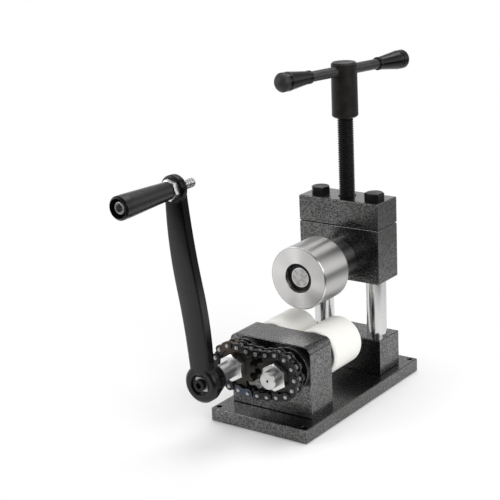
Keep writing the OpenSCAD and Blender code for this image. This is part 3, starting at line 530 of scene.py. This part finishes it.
def screw_thread(bm, middle, z_low, z_high, root, crest, pitch, segments):
    """Right-hand ridge between two heights, a closed tube that is sunk a little into its core and
    runs out into it at both ends."""
    sunk = root - THREAD_SUNK
    count = math.floor(((z_high - z_low) / pitch - THREAD_RIDGE[-1][1]) * segments)
    run_out = segments * THREAD_RUN_OUT_TURNS
    sections = []
    for k in range(count + 1):
        angle = 2 * math.pi * k / segments
        swell = max(THREAD_LEAST_RISE, min(1, k / run_out, (count - k) / run_out))
        section = []
        for share, part in THREAD_RIDGE:
            reach = sunk + share * swell * (crest - sunk)
            section.append(bm.verts.new((middle.x + reach * math.cos(angle),
                                         middle.y + reach * math.sin(angle),
                                         z_low + pitch * (k / segments + part))))
        sections.append(section)
    for now, after in zip(sections, sections[1:]):
        for j in range(len(THREAD_RIDGE)):
            bm.faces.new([now[j - 1], after[j - 1], after[j], now[j]])
    bm.faces.new(sections[0])
    bm.faces.new(sections[-1])


def stand_in(bm, name, node_name, body, made):
    """Object of a finished mesh that rides on a body and shows in place of a node."""
    bmesh.ops.remove_doubles(bm, verts=bm.verts, dist=0.001 * MM)
    bmesh.ops.recalc_face_normals(bm, faces=bm.faces)
    mesh = bpy.data.meshes.new(name)
    bm.to_mesh(mesh)
    bm.free()
    mesh.materials.append(made)
    piece = bpy.data.objects.new(name, mesh)
    bpy.context.scene.collection.objects.link(piece)
    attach(piece, body)
    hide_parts(node_name)


def press_screw():
    """Threaded screw with neck and button in the carriage and a core that fills the thread."""
    low, high = (Vector(v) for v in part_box("press_screw"))
    middle = (low + high) / 2
    crest = (high.x - low.x) / 2
    root = crest - SCREW_THREAD_DEPTH
    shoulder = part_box("carriage_block")[1][2] + SHOULDER_GAP
    button_top = shoulder - NECK_LENGTH
    button_edge = BUTTON_RADIUS - BUTTON_BEVEL
    bm = bmesh.new()
    spin_profile(bm, [(0, low.z), (button_edge, low.z), (BUTTON_RADIUS, low.z + BUTTON_BEVEL),
                      (BUTTON_RADIUS, button_top - BUTTON_BEVEL), (button_edge, button_top),
                      (NECK_RADIUS, button_top), (NECK_RADIUS, shoulder), (root, shoulder),
                      (root, high.z), (0, high.z)], SCREW_SEGMENTS, middle)
    screw_thread(bm, middle, shoulder, high.z, root, crest, SCREW_PITCH, SCREW_SEGMENTS)
    stand_in(bm, "press_screw_thread", "press_screw", "screw",
             black_oxide("screw_oxide", 0.004, 0.34, shine=0.15))


def handle_stud():
    """Long socket screw through the grip, threaded on its free tail. Built upright, then laid
    along Y."""
    low, high = (Vector(v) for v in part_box("handle_stud"))
    middle = (low + high) / 2
    head = (high.x - low.x) / 2
    crest = head - STUD_HEAD_STEP
    root = crest - STUD_THREAD_DEPTH
    key_end = low.y + KEY_DEPTH
    seat = low.y + STUD_HEAD_HEIGHT
    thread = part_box("handle_nut")[1][1]
    upright = Vector((0, 0))
    bm = bmesh.new()
    spin_profile(bm, [(0, key_end), (KEY_RADIUS, key_end, KEY_FLATS), (KEY_RADIUS, low.y, KEY_FLATS),
                      (head - STUD_BEVEL, low.y), (head, low.y + STUD_BEVEL), (head, seat),
                      (crest, seat), (crest, thread), (root, thread),
                      (root, high.y - STUD_BEVEL), (root - STUD_BEVEL, high.y), (0, high.y)],
                 STUD_SEGMENTS, upright)
    screw_thread(bm, upright, thread, high.y - 2 * STUD_BEVEL, root, crest, STUD_PITCH,
                 STUD_SEGMENTS)
    lay = Matrix.Translation((middle.x, 0, middle.z)) @ Matrix.Rotation(-math.pi / 2, 4, "X")
    bmesh.ops.transform(bm, matrix=lay, verts=bm.verts)
    stand_in(bm, "handle_stud_thread", "handle_stud", "drive",
             stud_zinc(middle, Y_AXIS, seat - middle.y))


press_screw()
handle_stud()


# Stage, light and camera

def seen_or_mirrored(tree):
    """1 for rays that show the ground as it is: from the camera, in mirrors and through glass."""
    rays = node(tree, "LightPath").outputs
    both = math_node(tree, "MAXIMUM", rays["Is Camera Ray"], rays["Is Glossy Ray"])
    return math_node(tree, "MAXIMUM", both, rays["Is Transmission Ray"])


def mirrored_room(tree, at):
    """Level of the floor in mirrors: dark ahead at the right and far in front, dimmer behind."""
    ahead = ramp(tree, dot_product(tree, at, (0.75, -0.66, 0.0)), 0.13, 0.30, 1.0, 0.08)
    behind = ramp(tree, dot_product(tree, at, (0.55, 0.83, 0.0)), 0.12, 0.62, 1.0, 0.45)
    far = ramp(tree, component(tree, at, Y_AXIS), -0.68, -0.40, 0.25, 1.0)
    return math_node(tree, "MULTIPLY", math_node(tree, "MULTIPLY", ahead, behind), far)


def floor():
    """Pale floor that keeps the shadow near the tool and fades to white away from it."""
    mesh = bpy.data.meshes.new("floor")
    corners = [(-FLOOR_REACH, -FLOOR_REACH, 0), (FLOOR_REACH, -FLOOR_REACH, 0),
               (FLOOR_REACH, FLOOR_REACH, 0), (-FLOOR_REACH, FLOOR_REACH, 0)]
    mesh.from_pydata(corners, [], [(0, 1, 2, 3)])
    piece = bpy.data.objects.new("floor", mesh)
    piece.location.z = -FLOOR_DROP
    bpy.context.scene.collection.objects.link(piece)
    made, tree, shader = material("floor_pale")
    at = place(tree)
    put(tree, shader.inputs["Base Color"], blend(tree, noise(tree, at, 6.0), grey(0.93), grey(0.96)))
    shader.inputs["Roughness"].default_value = 0.9
    away = node(tree, "VectorMath", {0: at}, operation="LENGTH").outputs["Value"]
    fade = math_node(tree, "MULTIPLY", seen_or_mirrored(tree), ramp(tree, away, 0.12, 0.34, 0.0, 1.0))
    mirrored = node(tree, "LightPath").outputs["Is Glossy Ray"]
    level = choose(tree, mirrored, 1.0, mirrored_room(tree, at))
    white = node(tree, "Emission", {"Strength": level}).outputs[0]
    mixed = node(tree, "MixShader", {0: fade, 1: shader.outputs[0], 2: white})
    put(tree, tree.nodes["Material Output"].inputs["Surface"], mixed.outputs[0])
    mesh.materials.append(made)


def white_world():
    """White ground; in mirrors it is greyer overhead and towards the front."""
    world = bpy.data.worlds.new("studio")
    bpy.context.scene.world = world
    world.use_nodes = True
    tree = world.node_tree
    ground = tree.nodes["Background"]
    rays = node(tree, "LightPath").outputs
    seen = math_node(tree, "MAXIMUM", rays["Is Camera Ray"], rays["Is Transmission Ray"])
    toward = node(tree, "TexCoord").outputs["Generated"]
    front = ramp(tree, dot_product(tree, toward, (0.25, -0.95, 0.15)), 0.15, 0.75, 1.0, 0.18)
    above = ramp(tree, component(tree, toward, Z_AXIS), 0.22, 0.60, 1.0, 0.45)
    mirrored = math_node(tree, "MULTIPLY", above, front)
    lit = choose(tree, rays["Is Glossy Ray"], WORLD_LIGHT, mirrored)
    put(tree, ground.inputs["Strength"], choose(tree, seen, lit, 1.0))
    ground.inputs["Color"].default_value = (1.0, 1.0, 1.0, 1.0)


def softbox(name, place_at, aim, size, power):
    """Rectangular lamp at a place, turned to its aim."""
    lamp = bpy.data.lights.new(name, "AREA")
    lamp.shape = "RECTANGLE"
    lamp.size, lamp.size_y = size
    lamp.energy = power
    holder = bpy.data.objects.new(name, lamp)
    holder.location = place_at
    holder.rotation_euler = (Vector(aim) - Vector(place_at)).to_track_quat("-Z", "Y").to_euler()
    bpy.context.scene.collection.objects.link(holder)


def camera():
    """Camera of the photograph: fitted place, aim, roll and lens."""
    data = bpy.data.cameras.new("camera")
    data.sensor_width = CAMERA_SENSOR
    data.lens = CAMERA_LENS
    holder = bpy.data.objects.new("camera", data)
    back = (CAMERA_PLACE - CAMERA_TARGET).normalized()
    level = Vector((0, 0, 1)).cross(back).normalized()
    upright = back.cross(level)
    right = math.cos(CAMERA_ROLL) * level + math.sin(CAMERA_ROLL) * upright
    up = math.cos(CAMERA_ROLL) * upright - math.sin(CAMERA_ROLL) * level
    turn = Matrix((right, up, back)).transposed().to_4x4()
    holder.matrix_world = Matrix.Translation(CAMERA_PLACE) @ turn
    bpy.context.scene.collection.objects.link(holder)
    bpy.context.scene.camera = holder


floor()
white_world()
softbox("key_right", (1.1, -0.25, 0.75), LAMP_AIM, (0.8, 0.8), 8.0)
softbox("top", (0.0, 0.3, 1.3), LAMP_AIM, (1.0, 1.0), 8.5)
softbox("fill_left", (-0.9, -0.9, 0.7), LAMP_AIM, (0.7, 0.7), 5.0)
camera()
bpy.context.scene.view_settings.view_transform = "Standard"
